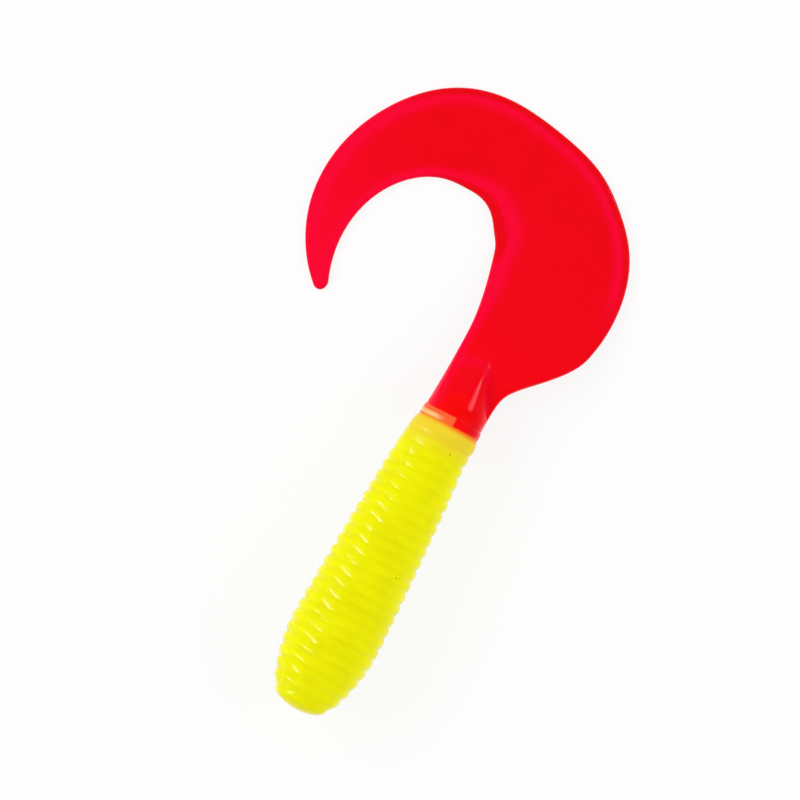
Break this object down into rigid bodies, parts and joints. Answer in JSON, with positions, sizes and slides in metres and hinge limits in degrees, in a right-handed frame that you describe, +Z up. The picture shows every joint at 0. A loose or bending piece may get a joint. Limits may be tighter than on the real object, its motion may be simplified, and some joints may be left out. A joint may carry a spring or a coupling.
{
  "type": "soft plastic worm",
  "caption": "Soft plastic worm with a ribbed tapered body and a flat curled tail of another colour bonded to its end; the tail flexes to swim when the worm is drawn through water.",
  "frame": {"origin": "on the table under the middle of the worm's box as it lies flat", "axes": "+X along the body from nose to tail, +Y to the side that the tail curls to, +Z up from the table"},
  "size_m": [0.076, 0.0392, 0.0113],
  "materials": {
    "body_yellow": "soft plastisol, satin gloss, opaque lemon yellow",
    "tail_red": "soft plastisol, glossy, slightly translucent red"
  },
  "bodies": {
    "body": {"ribbed_body": "body_yellow", "tail_root": "tail_red"},
    "paddle": {"tail_paddle": "tail_red"},
    "curl": {"tail_curl": "tail_red"},
    "tip": {"tail_tip": "tail_red"}
  },
  "joints": [
    {"name": "neck_flex", "type": "hinge", "parent": "body", "child": "paddle", "pos_m": [0.01012, -0.00768, 0.00328], "axis": [0, -1, 0], "range_deg": [-45, 45], "stiffness_Nm_per_rad": 0.00005},
    {"name": "curl_flex", "type": "hinge", "parent": "paddle", "child": "curl", "pos_m": [0.02987, -0.00457, 0.00056], "axis": [0.9063, -0.4226, 0], "range_deg": [-45, 45], "stiffness_Nm_per_rad": 0.000025},
    {"name": "tip_flex", "type": "hinge", "parent": "curl", "child": "tip", "pos_m": [0.02167, 0.01576, 0.00049], "axis": [0.1045, 0.9945, 0], "range_deg": [-45, 45], "stiffness_Nm_per_rad": 0.00001}
  ]
}
